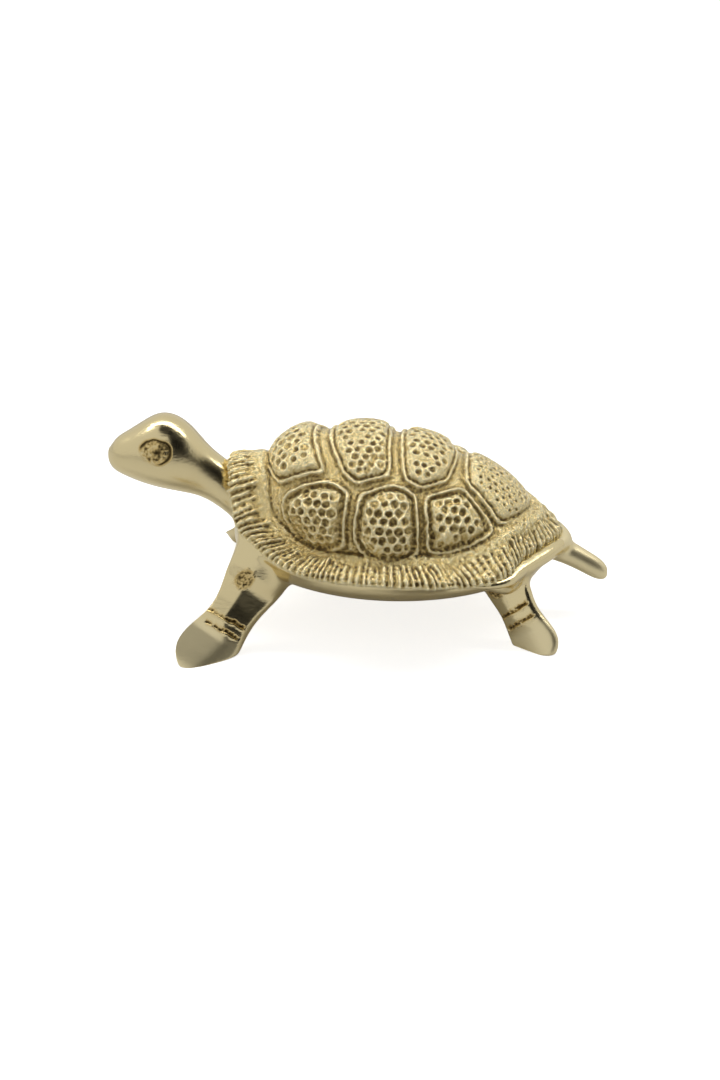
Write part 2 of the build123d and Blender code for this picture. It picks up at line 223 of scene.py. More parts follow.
# Cuts across a leg, and the rough patch at its root
CUT_DEPTH = 0.75
CUT_WIDTH = 0.36
CUT_DARKENING_WIDTH = 0.612
CUT_SLANT = -0.12
CUT_WANDER = 0.5
CUT_WANDER_SIZE = 2.0
CUT_TEAR = 0.25
CUT_REAR_SHARES = (-0.34, -0.22)
CUT_FRONT_SHARES = (0.50, 0.36)
BURR_HEIGHT = 0.22
ROOT_PATCH_SHARE = 0.27
ROOT_PATCH_LENGTH_SHARE = 0.09
ROOT_PATCH_AHEAD = 3.4
ROOT_PATCH_WIDTH = 2.8
ROOT_PATCH_LIMITS = (0.30, 0.6)
ROOT_PATCH_TEAR = 0.2
ROOT_PATCH_LUMPS = 0.35

# Eyes: an engraved ring with a rough ball and a drilled pupil. HAIRBREADTH keeps a distance above 0.
HAIRBREADTH = 0.01
EYE_X = 59.5
EYE_HEIGHT = 53.8
EYE_SIDE = 3.0
EYE_AREA_SHARE = 1.5
EYE_RING_RADIUS = 4.6
EYE_FLATTENING = 1.32
EYE_RING_WIDTH = 0.3
EYE_RING_DARKENING_WIDTH = 0.48
EYE_RING_DEPTH = 0.45
EYE_RING_WANDER = 0.35
EYE_RING_WANDER_SIZE = 2.2
EYE_OPENING = 0.9
EYE_OPENING_LIMITS = (0.497, 1.207)
EYE_ROUNDS = 40
EYE_BALL_RADIUS = 3.2
EYE_BALL_RISE = 0.35
EYE_LUMPS = 0.22
PUPIL_BEHIND = 0.8
PUPIL_ABOVE = 0.4
PUPIL_RADIUS = 1.2
PUPIL_DEPTH = 0.5
PUPIL_TEAR = 0.6
RING_DARKENING = 1.2
PUPIL_DARKENING = 0.8

# Brass of the shell: its colours from patina and painted shade in the grooves to rubbed edges with a painted
# highlight, each after the wear at which it is full. Patterns have scales in 1/m, and a bump has its
# strength and its height in metres.
SHELL_PLAIN = (0.78, 0.62, 0.30)
SHELL_PATINA_WEAR_AND_PAINTED_LIGHT = [(0.14, (0.19, 0.12, 0.035)), (0.42, (0.78, 0.62, 0.28)), (0.80, (1.0, 0.90, 0.58))]
SHELL_ROUGHNESS = 0.14
SHELL_GRAINS = {"Scale": 1150.0, "Detail": 5.0, "Roughness": 0.75}
SHELL_BUMP = (1.0, 0.00062)
SPECK_LIMITS = (0.3, 0.7)
SPECK_SHARES = (-0.2, 0.2)

# Brass of the body: its colours from the polish over raw metal to near black
BODY_POLISHED = (0.77, 0.65, 0.37)
BODY_COLOURS = [(0.0, BODY_POLISHED), (0.35, (0.62, 0.46, 0.19)), (1.0, (0.08, 0.055, 0.02))]
# Paler colour of the satin feet and tail: their satin finish, with painted light that lifts them
BODY_SATIN_PAINTED_LIGHT = (0.83, 0.72, 0.44)
BODY_ROUGHNESS = 0.2
BODY_GLOSS_ROUGHNESSES = (0.17, 0.27)
DULL_ROUGHNESS = 0.45
BODY_CLOUDS = {"Scale": 90.0, "Detail": 3.0}
BODY_CLOUD_LIMITS = (0.35, 0.65)
BRUSHING = {"Scale": 1.0, "Detail": 3.0}
BRUSHING_SCALES = (300, 1400, 1400)
BODY_BUMP = (0.35, 0.00015)

# Brass of the screws, and the paper
SCREW_BRASS = (0.75, 0.65, 0.42)
SCREW_ROUGHNESS = 0.3
SCREW_GLOSS_ROUGHNESSES = (0.22, 0.42)
SCREW_RINGS = {"Scale": 1600.0, "Distortion": 1.0}
SCREW_TARNISH = {"Scale": 700.0, "Detail": 3.0}
SCREW_BUMP = (0.3, 0.00005)
PAPER_WHITE = (0.85, 0.85, 0.85)

# Camera, fitted to the photograph
CAMERA_TARGET = (0.0, 0.0, 21.8)
CAMERA_DISTANCE = 600.0
CAMERA_AZIMUTH = 3.0
CAMERA_ELEVATION = 28.0
CAMERA_LENS = 66.0
CAMERA_SENSOR = 36.0

# Long soft box above the turtle, a little towards its far side, with its power in watts; and the sheet of
# paper below
LAMP_AZIMUTH = 180.0
LAMP_ELEVATION = 76.0
LAMP_DISTANCE = 900.0
LAMP_WIDTH = 2200.0
LAMP_HEIGHT = 120.0
LAMP_POWER = 7.2
PAPER_HALF_SIZE = 3000.0
PAPER_LIFT = 0.76

# Dark parts of the room that the polish shows: direction, and cosines at the outer and the inner edge
DARK_PARTS = [
    ((0.66, -0.42, 0.62), 0.86, 0.925),
    ((0.62, -0.75, 0.20), 0.82, 0.90),
    ((0.12, -0.18, 0.97), 0.885, 0.95),
]
ROOM_BRIGHTNESS = 0.72
ROOM_FOR_MATT = 0.42
ROOM_FOR_CAMERA = 1.5
DARKNESS = 0.05

# Corners of the scutes: share of the dome's half length from its middle, and roll in degrees
RIDGE_SCUTE_SHARES = [
    [(-0.985, 75), (-0.90, 82), (-0.70, 48), (-0.76, 34), (-0.81, 0)],
    [(-0.81, 0), (-0.76, 34), (-0.69, 48), (-0.54, 53), (-0.36, 37), (-0.42, 0)],
    [(-0.42, 0), (-0.36, 37), (-0.19, 41), (0.03, 22), (0.00, 0)],
    [(0.00, 0), (0.03, 22), (0.35, 39), (0.46, 28), (0.57, 0)],
]
FLANK_SCUTE_SHARES = [
    [
        (-0.89, 83), (-0.81, 58), (-0.70, 49), (-0.55, 54), (-0.42, 91), (-0.57, 112), (-0.75, 114),
        (-0.85, 104),
    ],
    [(-0.54, 54), (-0.46, 45), (-0.36, 38), (-0.19, 41), (-0.02, 73), (-0.12, 86), (-0.24, 92), (-0.43, 87)],
    [(-0.19, 41), (-0.09, 32), (0.03, 23), (0.35, 40), (0.29, 53), (0.09, 70), (-0.01, 73)],
]

# Stations of the skirt from the front round the left side to the rear: ahead or behind the middle, out,
# and rise
RIM_STATION_SHARES = [
    (-1.000, 0.000, 1.000), (-0.992, 0.222, 0.894), (-0.960, 0.389, 0.532), (-0.920, 0.486, 0.361),
    (-0.830, 0.597, 0.231), (-0.660, 0.764, 0.060), (-0.408, 0.911, 0.000), (-0.068, 0.994, 0.010),
    (0.272, 0.978, -0.010), (0.512, 0.903, -0.020), (0.652, 0.764, -0.020), (0.722, 0.569, 0.030),
    (0.822, 0.389, 0.045), (0.912, 0.222, 0.055), (0.988, 0.000, 0.030),
]
ROOT_STATION_SHARES = [
    (-1.000, 0.000, 1.000), (-0.985, 0.185, 0.880), (-0.946, 0.363, 0.590), (-0.888, 0.496, 0.315),
    (-0.778, 0.644, 0.090), (-0.639, 0.763, -0.030), (-0.444, 0.896, -0.020), (-0.102, 0.996, 0.000),
    (0.190, 0.989, 0.020), (0.434, 0.911, 0.050), (0.629, 0.770, 0.130), (0.763, 0.585, 0.210),
    (0.893, 0.352, 0.230), (0.971, 0.167, 0.200), (1.000, 0.000, 0.170),
]


def smooth_step(low, high, values):
    """0 below low, 1 above high, and an even ease between them."""
    share = np.clip((values - low) / (high - low), 0, 1)
    return share * share * (3 - 2 * share)


def unit(vectors):
    """The vectors at length 1."""
    return vectors / np.linalg.norm(vectors, axis=-1, keepdims=True)


def make_mesh(name, points, faces):
    """A mesh in metres from points in millimetres."""
    mesh = bpy.data.meshes.new(name)
    mesh.from_pydata((np.asarray(points) * METRES).tolist(), [], faces)
    mesh.update()
    return mesh


def mesh_points(mesh):
    """A mesh's points in millimetres."""
    flat = np.empty(len(mesh.vertices) * 3)
    mesh.vertices.foreach_get("co", flat)
    return flat.reshape(-1, 3) / METRES


def set_points(mesh, points):
    """Moves a mesh's points; they are given in millimetres."""
    mesh.vertices.foreach_set("co", (points * METRES).ravel())
    mesh.update()


def mesh_normals(mesh):
    """The smooth normal at each of a mesh's points."""
    flat = np.empty(len(mesh.vertices) * 3)
    mesh.vertices.foreach_get("normal", flat)
    return flat.reshape(-1, 3)


def set_attribute(mesh, name, values):
    """One number for each point, for the materials to read."""
    attribute = mesh.attributes.new(name, "FLOAT", "POINT")
    attribute.data.foreach_set("value", np.asarray(values, dtype=np.float32))


def link(name, mesh):
    """A new object in the scene that shows a mesh with smooth faces."""
    thing = bpy.data.objects.new(name, mesh)
    bpy.context.scene.collection.objects.link(thing)
    mesh.polygons.foreach_set("use_smooth", [True] * len(mesh.polygons))
    return thing


def remeshed(meshes, voxel):
    """One closed mesh round several overlapping ones."""
    joined = bmesh.new()
    for mesh in meshes:
        joined.from_mesh(mesh)
    source = bpy.data.meshes.new("source")
    joined.to_mesh(source)
    joined.free()
    thing = link("source", source)
    remesh = thing.modifiers.new("remesh", "REMESH")
    remesh.mode = "VOXEL"
    remesh.voxel_size = voxel * METRES
    result = bpy.data.meshes.new_from_object(thing.evaluated_get(bpy.context.evaluated_depsgraph_get()))
    bpy.data.objects.remove(thing)
    bpy.data.meshes.remove(source)
    return result


def neighbour_mean(mesh):
    """A function that gives, for values at each point, the mean of the values at the points joined to it."""
    edges = np.empty(len(mesh.edges) * 2, dtype=np.int32)
    mesh.edges.foreach_get("vertices", edges)
    ends = edges.reshape(-1, 2)
    starts = np.concatenate([ends[:, 0], ends[:, 1]])
    others = np.concatenate([ends[:, 1], ends[:, 0]])
    count = len(mesh.vertices)
    degree = np.bincount(starts, minlength=count)

    def mean(values):
        totals = [np.bincount(starts, weights=column[others], minlength=count) for column in values.T]
        return np.stack([total / degree for total in totals], axis=1)
    return mean


def relax(mesh, rounds, weights=1.0):
    """Smooths a mesh by moving each point towards its neighbours; weights say how much, point by point."""
    mean = neighbour_mean(mesh)
    points = mesh_points(mesh)
    share = np.broadcast_to(weights, len(points))[:, None] / 2
    for _ in range(rounds):
        points = points + (mean(points) - points) * share
    set_points(mesh, points)


def grain(points, size):
    """Smooth random values between about -1 and 1 at points, with grains of one size."""
    return np.array([noise.noise(Vector(point) / size) for point in points])


def layered_grain(points, grains):
    """Grains of several sizes added up, each size with its own height."""
    return sum(height * grain(points, size) for size, height in grains)


def bump(offsets, width):
    """A round bump: 1 at no offset, and nearly 0 from about two widths on."""
    return np.exp(-np.square(offsets / width))


def smooth_stations(station_shares, turns):
    """Smooth curve through mirrored stations: turn 0 is the front, 0.5 the rear and 1 the front again."""
    stations = np.array(station_shares)
    loop = np.vstack([stations * (1, -1, 1), stations[-2:0:-1]])
    place = (turns % 1) * len(loop)
    start = place.astype(int)
    share = (place - start)[:, None]
    before, here, after, beyond = (loop[(start + step) % len(loop)] for step in (-1, 0, 1, 2))
    slope_here, slope_after = (after - before) / 2, (beyond - here) / 2
    change = after - here
    curve = slope_here * share + (change * 3 - slope_here * 2 - slope_after) * share ** 2
    return here + curve + (slope_here + slope_after - change * 2) * share ** 3


def rim_points(turns):
    """Points on the skirt's edge."""
    shares = smooth_stations(RIM_STATION_SHARES, turns)
    return shares * (RIM_HALF_LENGTH, RIM_HALF_WIDTH, COLLAR_RISE) + (BODY_CENTRE_X, 0, RIM_HEIGHT)


def root_points(turns):
    """Points where the skirt meets the dome."""
    shares = smooth_stations(ROOT_STATION_SHARES, turns)
    return shares * (ROOT_HALF_LENGTH, ROOT_HALF_WIDTH, ROOT_COLLAR_RISE) + (
        BODY_CENTRE_X + ROOT_SHIFT, 0, ROOT_HEIGHT)


def even_turns(count):
    """Turns that space count points evenly along the rim."""
    turns = np.linspace(0, 1, RIM_SAMPLES * count + 1)
    points = rim_points(turns)
    travelled = np.concatenate([[0], np.cumsum(np.linalg.norm(np.diff(points, axis=0), axis=1))])
    return np.interp(np.arange(count) / count * travelled[-1], travelled, turns)


def grid_faces(rows, columns, round_rows, round_columns):
    """Quads of a grid of points, run on from the last row or column to the first where it goes round."""
    faces = []
    for row in range(rows if round_rows else rows - 1):
        near = row * columns
        far = (row + 1) % rows * columns
        for column in range(columns if round_columns else columns - 1):
            after = (column + 1) % columns
            faces.append((near + column, near + after, far + after, far + column))
    return faces


def skirt_mesh(rng):
    """The ribbed skirt, a closed ring with rounded ribs of uneven length, depth and direction."""
    rings = RIB_COUNT * RIB_STEPS
    turns = even_turns(rings)
    root, rim = root_points(turns), rim_points(turns)
    outward = unit(rim - root)
    along = unit(np.roll(rim, -1, axis=0) - np.roll(rim, 1, axis=0))
    up = unit(np.cross(outward, along))
    up *= np.sign(up[:, 2:])
    widths = rng.uniform(*RIB_WIDTH_SHARES, RIB_COUNT)
    starts = np.concatenate([[0], np.cumsum(widths / widths.sum())])
    rib_place = np.interp(np.arange(rings) / rings, starts, np.arange(RIB_COUNT + 1))
    rib = rib_place.astype(int)
    overhang = RIB_OVERHANG + rng.uniform(-RIB_OVERHANG_JITTER, RIB_OVERHANG_JITTER, RIB_COUNT)[rib]
    height = rng.uniform(*RIB_HEIGHT_SHARES, RIB_COUNT)[rib]
    lean = rng.uniform(-RIB_LEAN_SHARE, RIB_LEAN_SHARE, RIB_COUNT)[rib]
    begins = rng.uniform(*RIB_START_SHARES, RIB_COUNT)[rib]
    within = rib_place % 1
    across = 2 * np.abs(within - 0.5 - lean * 4 * within * (1 - within))
    ridge = (1 - across ** RIB_SHARPNESS) * height
    reach = np.linalg.norm(rim - root, axis=1) + overhang * ridge
    rows = [root - outward * ROOT_BURY]
    for step in range(SKIRT_STEPS + 1):
        share = step / SKIRT_STEPS
        row = root + outward * (share * reach)[:, None]
        worn = RIB_WEAR * smooth_step(*RIB_WEAR_LIMITS, grain(row, RIB_WEAR_SIZE))
        torn = 1 + RIB_TEAR * grain(row, RIB_TEAR_SIZE) - worn
        rise = RIB_RELIEF * ridge * torn * smooth_step(0, RIB_RISE_SHARE, share - begins)
        rise += SKIRT_CROWN * sin(pi * share) + COVE_RISE * (1 - smooth_step(0, COVE_SHARE, share))
        rise -= RIB_EDGE_DROP * smooth_step(RIB_EDGE_SHARE, 1, share)
        rows.append(row + up * rise[:, None])
    rows.append(rows[-1] - outward * UNDERCUT - (0, 0, RIM_THICKNESS * RIM_UNDER_SHARE))
    rows.append(rows[0] - (0, 0, ROOT_THICKNESS))
    return make_mesh("skirt", np.concatenate(rows), grid_faces(len(rows), rings, True, True))


def dome_frame():
    """The dome's middle and its three axes in the turtle's frame."""
    tilt = radians(DOME_TILT)
    axes = np.array([(cos(tilt), 0, -sin(tilt)), (0, 1, 0), (sin(tilt), 0, cos(tilt))])
    return np.array([BODY_CENTRE_X + DOME_SETBACK, 0, DOME_HEIGHT]), axes


def ball_directions(along_shares, rolls):
    """Directions on the dome's ball: a share along its length, and a roll to the left side in degrees."""
    round_shares = np.sqrt(1 - np.square(along_shares))
    angles = np.radians(rolls)
    return np.stack([along_shares, -np.sin(angles) * round_shares, np.cos(angles) * round_shares], axis=-1)


def on_dome(directions):
    """Points on the plain dome, and the dome's normals there."""
    middle, axes = dome_frame()
    half_sizes = np.array(DOME_HALF_SIZES)
    points = middle + (directions * half_sizes) @ axes
    return points, unit((directions / half_sizes) @ axes)


def scute_outlines():
    """Corners, profile and punch of every scute: four on the back, and three on each flank."""
    scutes = []
    for half in RIDGE_SCUTE_SHARES:
        other_half = [(along, -roll) for along, roll in reversed(half) if roll]
        punch = REAR_PUNCH if half is RIDGE_SCUTE_SHARES[-1] else RIDGE_PUNCH
        scutes.append((half + other_half, RIDGE_PROFILE, punch))
    for corners in FLANK_SCUTE_SHARES:
        other_side = [(along, -roll) for along, roll in reversed(corners)]
        scutes.append((corners, FLANK_PROFILE, FLANK_PUNCH))
        scutes.append((other_side, FLANK_PROFILE, FLANK_PUNCH))
    return [
        (ball_directions(*np.array(corners, dtype=float).T), profile, punch)
        for corners, profile, punch in scutes
    ]


def inside_distance(directions, corners):
    """Distance of each direction in from the nearest edge of a scute, with rounded corners."""
    middle = unit(corners.sum(axis=0))
    total = np.zeros(len(directions))
    for start, end in zip(corners, np.roll(corners, -1, axis=0)):
        normal = unit(np.cross(start, end))
        normal *= np.sign(normal @ middle)
        distance = directions @ normal / np.linalg.norm(normal / DOME_HALF_SIZES)
        total += np.exp(-np.clip(distance, *EDGE_DISTANCE_LIMITS) / CORNER_ROUNDING)
    return -CORNER_ROUNDING * np.log(total)


def punch_centres(corners, spacing, rng):
    """Directions of one scute's punch marks: rows of them, each nudged by hand, clear of the pad's edge."""
    centre, normal = on_dome(unit(corners.sum(axis=0))[None])
    side = unit(np.cross(normal, (1.0, 0.0, 0.0)))[0]
    ahead = np.cross(side, normal[0])
    rows = range(-PUNCH_ROWS, PUNCH_ROWS + 1)
    places = []
    for row in rows:
        for column in rows:
            nudge = rng.uniform(-PUNCH_JITTER, PUNCH_JITTER, 2)
            forward = spacing * (column + (row % 2) / 2) + nudge[0]
            sideways = spacing * PUNCH_ROW_SHARE * row + nudge[1]
            if rng.uniform() > PUNCHES_LEFT_OUT_SHARE:
                places.append(centre[0] + ahead * forward + side * sideways)
    middle, axes = dome_frame()
    directions = unit((np.array(places) - middle) @ axes.T / DOME_HALF_SIZES)
    return directions[inside_distance(directions, corners) > PUNCH_INSET]


def shell_relief(directions, rng):
    """Height of the shell over the plain dome: borders, grooves, pads and punch marks of the scutes."""
    points, _ = on_dome(directions)
    wobble = layered_grain(points, SCUTE_EDGE_GRAINS)
    rolls = np.degrees(np.arctan2(np.abs(directions[:, 1]), directions[:, 2]))
    faded = smooth_step(*LOW_FADE_ROLLS, rolls + LOW_FADE_JITTER * grain(points, LOW_FADE_SIZE))
    relief = np.zeros(len(directions))
    for corners, profile, (spacing, radius, depth) in scute_outlines():
        inside = inside_distance(directions, corners) + wobble
        here = np.where(inside > 0)[0]
        height = np.interp(inside[here], *np.array(profile).T)
        centres, _ = on_dome(punch_centres(corners, spacing, rng))
        if len(centres):
            radii = radius * rng.uniform(*PUNCH_SIZE_SHARES, len(centres))
            gaps = (np.linalg.norm(points[here][:, None] - centres[None], axis=2) / radii).min(axis=1)
            bowl = np.sqrt(np.clip(1 - np.square(gaps), 0, 1))
            beyond = (gaps - 1) * radius - PUNCH_RIM_WIDTH / 2
            height += PUNCH_RIM * bump(beyond, PUNCH_RIM_WIDTH) - depth * bowl
        relief[here] = np.maximum(relief[here], height * (1 - LOW_FADE * faded[here]))
    return relief + FRONT_SWELL * smooth_step(*FRONT_SWELL_SHARES, -directions[:, 0])


def dome_mesh(rng):
    """The dome with its scutes, closed flat inside the body below it."""
    half_length, _, half_height = DOME_HALF_SIZES
    rows = int(pi * half_length * DOME_ROW_SHARE / DOME_STEP)
    columns = int(2 * pi * half_height / DOME_STEP)
    along = -np.cos(np.linspace(DOME_POLE_ANGLE, pi - DOME_POLE_ANGLE, rows))
    rolls = np.arange(columns) * 360 / columns - 180
    grid_along, grid_rolls = np.meshgrid(along, rolls, indexing="ij")
    directions = ball_directions(grid_along.ravel(), grid_rolls.ravel())
    points, normals = on_dome(directions)
    points = points + normals * shell_relief(directions, rng)[:, None]
    points[:, 2] = np.maximum(points[:, 2], DOME_CUT_HEIGHT)
    faces = grid_faces(rows, columns, False, True)
    faces.append(tuple(range(columns - 1, -1, -1)))
    faces.append(tuple((rows - 1) * columns + column for column in range(columns)))
    return make_mesh("dome", points, faces)


def cast_shell():
    """The whole shell: dome, scutes and ribbed skirt in one casting, with the grain of the mould."""
    rng = np.random.default_rng(SEED)
    mesh = remeshed([dome_mesh(rng), skirt_mesh(rng)], SHELL_VOXEL)
    relax(mesh, 1)
    points = mesh_points(mesh)
    coarse, fine = LOW_GRAIN_SHARES
    strength = coarse + (fine - coarse) * smooth_step(*LOW_GRAIN_HEIGHTS, points[:, 2])
    lumps = strength * layered_grain(points, CAST_GRAINS)
    set_points(mesh, points + mesh_normals(mesh) * lumps[:, None])
    # The shell's colour follows this: grooves dark as patina and painted shade, edges bright as rubbed brass
    # and painted highlight
    set_attribute(mesh, "worn", exposure(mesh))
    return link("carapace_cast", mesh)


def exposure(mesh):
    """How far each point stands out from its surroundings: 0 in a groove, 0.5 on a flat and 1 on an edge."""
    mean = neighbour_mean(mesh)
    points = mesh_points(mesh)
    around = points
    for _ in range(EXPOSURE_ROUNDS):
        around = mean(around)
    stand_out = ((points - around) * mesh_normals(mesh)).sum(axis=1)
    return np.clip(0.5 + stand_out / EXPOSURE_HEIGHT, 0, 1)


def swollen(mesh, amount):
    """A copy of a mesh, swollen a little so that it runs into what it is brazed to."""
    copy = mesh.copy()
    merged = bmesh.new()
    merged.from_mesh(copy)
    bmesh.ops.remove_doubles(merged, verts=merged.verts, dist=SAME_POINT * METRES)
    merged.to_mesh(copy)
    merged.free()
    set_points(copy, mesh_points(copy) + mesh_normals(copy) * amount)
    return copy


def filler_mesh(name, stations, places, turns, ring):
    """A tube of filler along the skirt's rim: a ring, or a length with closed ends.

    It lies at the given turns, and has the sizes that the stations give at the given places.
    """
    station_turns, *sizes = np.array(stations).T
    radii, overhangs, drops = (np.interp(places, station_turns, size) for size in sizes)
    rim, root = rim_points(turns), root_points(turns)
    outward = unit((rim - root) * (1, 1, 0))
    middles = rim + outward * overhangs[:, None] - (0, 0, 1) * drops[:, None]
    rows = []
    for side in range(TUBE_SIDES):
        angle = 2 * pi * side / TUBE_SIDES
        rows.append(middles + radii[:, None] * (outward * cos(angle) + np.array([0, 0, sin(angle)])))
    count = len(turns)
    faces = grid_faces(TUBE_SIDES, count, True, ring)
    if not ring:
        faces.append(tuple(side * count for side in range(TUBE_SIDES)))
        faces.append(tuple(side * count + count - 1 for side in reversed(range(TUBE_SIDES))))
    return make_mesh(name, np.concatenate(rows), faces)


def filler_meshes():
    """The bead under the whole rim, and the filler under the rump on each side."""
    turns = np.arange(BEAD_POINTS) / BEAD_POINTS
    bead = filler_mesh("bead", BEAD_STATIONS, np.minimum(turns, 1 - turns), turns, True)
    places = np.linspace(HIP_STATIONS[0][0], HIP_STATIONS[-1][0], HIP_POINTS)
    left_hip = filler_mesh("left_hip", HIP_STATIONS, places, places, False)
    right_hip = filler_mesh("right_hip", HIP_STATIONS, places, 1 - places, False)
    return [bead, left_hip, right_hip]


def nearest(meshes, places):
    """Distance from each place to the nearest of several meshes, and the number of that mesh."""
    points, faces, owners = [], [], []
    for owner, mesh in enumerate(meshes):
        start = len(points)
        points.extend(mesh_points(mesh).tolist())
        for face in mesh.polygons:
            faces.append([start + index for index in face.vertices])
            owners.append(owner)
    tree = BVHTree.FromPolygons(points, faces)
    found = [tree.find_nearest(place) for place in places]
    distances = [distance for _, _, _, distance in found]
    return np.array(distances), np.array([owners[face] for _, _, face, _ in found])


def along_leg(places, known):
    """Values of a list of share and value, at places along a leg."""
    return np.interp(places, *np.array(known).T)


def leg_places(points, root, toe):
    """Places in a leg's own terms: share along it, distances ahead and outwards, and the way outwards."""
    reach = np.subtract(toe, root)
    length = np.linalg.norm(reach)
    axis = reach / length
    side = np.array([0, np.sign(toe[1]), 0])
    broad = unit(np.cross(axis, side)) * -np.sign(toe[1])
    outward = np.cross(broad, axis)
    outward *= np.sign(outward @ side)
    local = points - root
    along = local @ axis / length
    sag = -length * along_leg(along, LEG_BOW_SHARES)
    return along, local @ broad - sag * broad[2], local @ outward - sag * outward[2], outward


def on_leg(along, across, out, width, thickness):
    """Which points lie in the box round a leg."""
    low, high = LEG_SPAN_SHARES
    return (along > low) & (along < high) & (np.abs(across) < width) & (np.abs(out) < thickness)


def file_leg(points, root, toe, width, thickness):
    """Files two facets on a leg's outer face, and says which points are the leg's."""
    along, across, out, outward = leg_places(points, root, toe)
    leg = on_leg(along, across, out, width, thickness)
    ahead = across - width * along_leg(along, LEG_RIDGE_SHARES)
    rounded = np.hypot(ahead, along_leg(along, LEG_RIDGE_ROUNDINGS))
    front_slope = along_leg(along, LEG_FRONT_SLOPES)
    rear_slope = along_leg(along, LEG_REAR_SLOPES)
    slope = rear_slope + (front_slope - rear_slope) * (1 + ahead / rounded) / 2
    limit = FILED_FACE_SHARE * thickness - slope * rounded
    begun = smooth_step(*FILED_SHARES, along)
    points -= outward * np.where(leg & (out > limit), (out - limit) * begun, 0)[:, None]
    return leg & (along > SMOOTHED_SHARE)


def patchy(ragged, level, change, low, high):
    """How strong a mark is at each point, for the grain there."""
    return np.clip(level + change * ragged, low, high)


def cut_leg(points, unpolished, root, toe, width, thickness, cut_shares):
    """Cuts rough lines across a leg's outer face, roughens its root, and says where its satin foot with
    painted light is.
    """
    along, across, out, outward = leg_places(points, root, toe)
    leg = on_leg(along, across, out, width, thickness)
    outer = leg & (out > 0)
    ragged = layered_grain(points, CUT_GRAINS)
    length = np.linalg.norm(np.subtract(toe, root))
    ahead = across / width
    reached = smooth_step(*CUT_REAR_SHARES, ahead) * smooth_step(*CUT_FRONT_SHARES, ahead) * outer
    wander = CUT_SLANT * across + CUT_WANDER * grain(points, CUT_WANDER_SIZE) + CUT_TEAR * ragged
    height = np.zeros(len(points))
    for share in cut_shares:
        off = (along - share) * length + wander
        height -= CUT_DEPTH * reached * bump(off, CUT_WIDTH) * patchy(ragged, *CUT_PATCHES)
        height += BURR_HEIGHT * reached * bump(off - 2 * CUT_WIDTH, CUT_WIDTH)
        # The cut lines are coloured darker, a little wider than the cuts themselves
        unpolished += reached * bump(off, CUT_DARKENING_WIDTH) * patchy(ragged, *CUT_DARKENING_PATCHES)
    patch = bump(along - ROOT_PATCH_SHARE, ROOT_PATCH_LENGTH_SHARE)
    patch = patch * bump(across - ROOT_PATCH_AHEAD, ROOT_PATCH_WIDTH)
    patch = smooth_step(*ROOT_PATCH_LIMITS, patch + ROOT_PATCH_TEAR * ragged) * outer
    points += outward * (height + ROOT_PATCH_LUMPS * patch * ragged)[:, None]
    unpolished += patch * patchy(ragged, *ROOT_PATCHES)
    return smooth_step(*FOOT_SHARES, along) * leg


def near_eyes(points):
    """Which points lie round an eye, where the polish comes before the engraving."""
    distance = np.hypot(points[:, 0] + EYE_X, points[:, 2] - EYE_HEIGHT)
    return distance < EYE_AREA_SHARE * EYE_RING_RADIUS


def engrave_eyes(points, unpolished):
    """A ring cut round each eye by hand, open at the lower front, with a rough ball and a pupil in it."""
    for side in (-1, 1):
        x, z = points[:, 0] + EYE_X, EYE_FLATTENING * (points[:, 2] - EYE_HEIGHT)
        distance = np.hypot(x, z)
        near = (points[:, 1] * side > EYE_SIDE) & (distance < 2 * EYE_RING_RADIUS)
        ragged = layered_grain(points, EYE_GRAINS)
        to_lower_front = -(x + z) / (distance + HAIRBREADTH)
        kept = 1 - EYE_OPENING * smooth_step(*EYE_OPENING_LIMITS, to_lower_front)
        off = distance - EYE_RING_RADIUS + EYE_RING_WANDER * grain(points, EYE_RING_WANDER_SIZE)
        ring = bump(off, EYE_RING_WIDTH) * kept * patchy(ragged, *EYE_RING_PATCHES)
        ball = np.sqrt(np.clip(1 - np.square(distance / EYE_BALL_RADIUS), 0, 1))
        pupil = bump(np.hypot(x - PUPIL_BEHIND, z - PUPIL_ABOVE) + PUPIL_TEAR * ragged, PUPIL_RADIUS)
        lumps = EYE_LUMPS * ragged * (distance < EYE_RING_RADIUS)
        height = EYE_BALL_RISE * ball + lumps - EYE_RING_DEPTH * ring - PUPIL_DEPTH * pupil
        points[:, 1] += side * near * height
        # The ring, the pupil and the inside of the eye are coloured darker
        darkening = RING_DARKENING * bump(off, EYE_RING_DARKENING_WIDTH) * kept + PUPIL_DARKENING * pupil
        darkening += smooth_step(EYE_RING_RADIUS, EYE_BALL_RADIUS, distance) * patchy(ragged, *EYE_DARKENING_PATCHES)
        unpolished += near * np.clip(darkening, 0, 1)


def leave_rough_collar(points, unpolished, near_bead):
    """Leaves the casting rough where the neck runs in under the collar, out of the wheel's reach."""
    ragged = layered_grain(points, CUT_GRAINS)
    rough = smooth_step(*COLLAR_REACHES, near_bead + COLLAR_WANDER * grain(points, COLLAR_WANDER_SIZE))
    rough *= (points[:, 0] < COLLAR_BEHIND) & (points[:, 2] > COLLAR_ABOVE)
    points += (rough * ragged)[:, None] * COLLAR_LUMPS
    unpolished += rough * patchy(ragged, *COLLAR_PATCHES)


